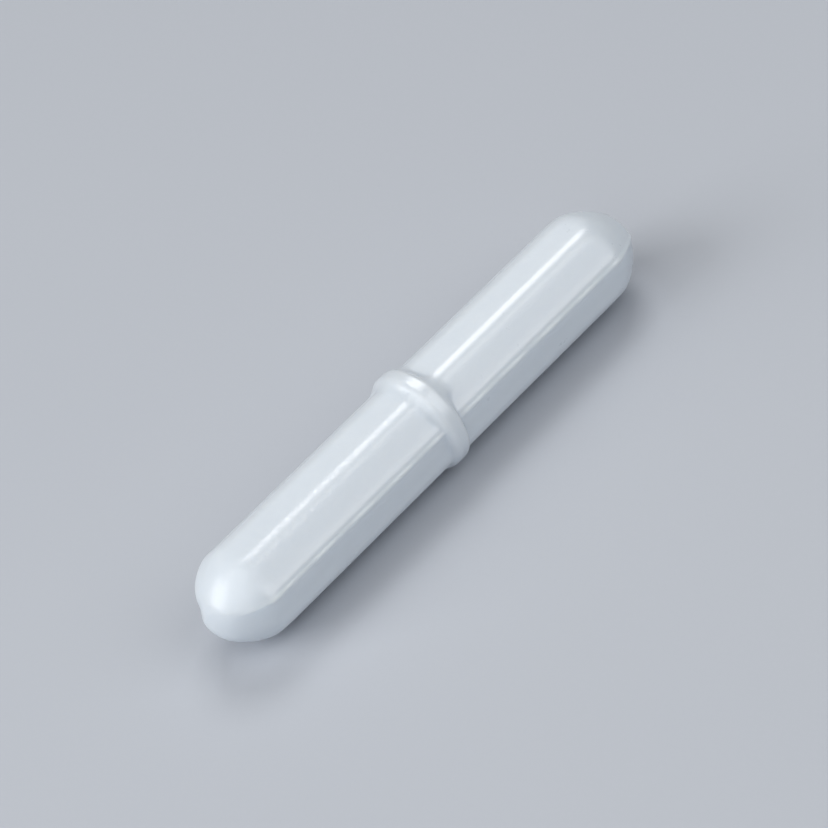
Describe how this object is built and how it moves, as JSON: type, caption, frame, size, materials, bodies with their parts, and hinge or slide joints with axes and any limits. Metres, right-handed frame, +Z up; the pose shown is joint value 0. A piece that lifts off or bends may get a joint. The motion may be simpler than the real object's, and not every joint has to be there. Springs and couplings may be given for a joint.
{
  "type": "magnetic stir bar",
  "caption": "White PTFE-coated bar magnet with an octagonal body, rounded ends and a moulded pivot ring round its middle, spun by a magnetic stirrer to mix liquid in a vessel.",
  "frame": {"origin": "under the middle of the bar, at the lowest point of the pivot ring, on the surface that the ring turns on", "axes": "+X along the bar, +Z up out of one of its eight flats, +Y across the bar, to the left when looking along +X"},
  "size_m": [0.0762, 0.0146, 0.0146],
  "materials": {
    "ptfe": "smooth moulded PTFE, milky white with a soft waxy gloss",
    "alnico": "ground AlNiCo, sealed in the jacket"
  },
  "bodies": {
    "root": {"ptfe_jacket": "ptfe", "magnet_core": "alnico"}
  },
  "joints": []
}
